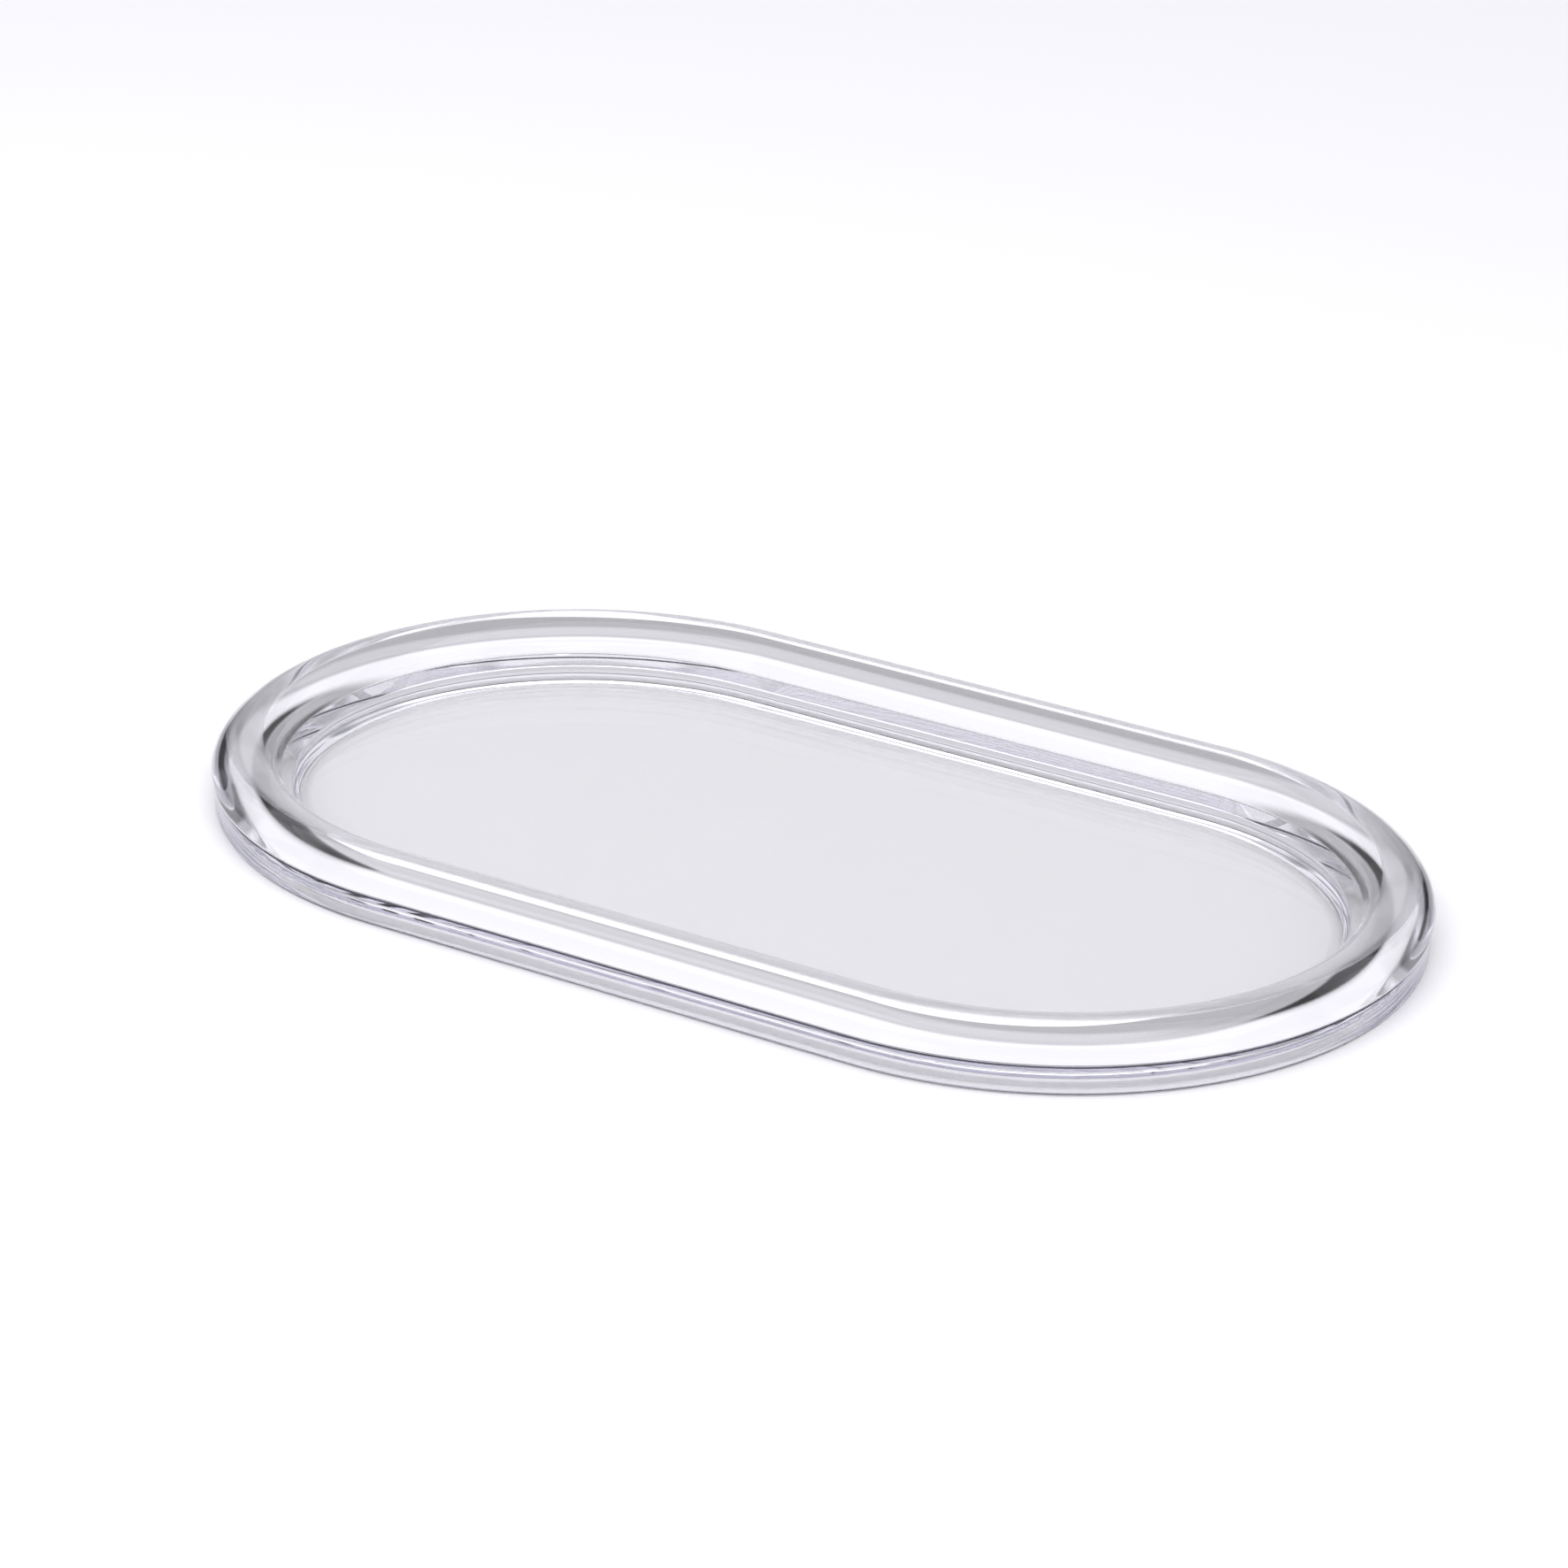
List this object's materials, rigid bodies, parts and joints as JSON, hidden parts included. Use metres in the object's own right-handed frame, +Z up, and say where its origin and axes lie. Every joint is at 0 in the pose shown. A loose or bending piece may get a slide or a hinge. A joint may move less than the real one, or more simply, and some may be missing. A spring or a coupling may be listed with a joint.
{
  "type": "dresser vanity tray",
  "caption": "Clear pill-shaped dresser tray: a dished base with a thick border and a rounded rim ring bonded on top of it.",
  "frame": {"origin": "centre of the tray's footprint, on the surface that it stands on", "axes": "+X along the tray's long way, +Y across it, +Z up through the open side"},
  "size_m": [0.276, 0.16, 0.0142],
  "materials": {
    "clear_base": "polished clear acrylic, colourless with a faint cool tint along its edges",
    "clear_rim": "polished clear acrylic, rounded, glossy all round"
  },
  "bodies": {
    "root": {"base_dish": "clear_base", "rim_ring": "clear_rim"}
  },
  "joints": []
}
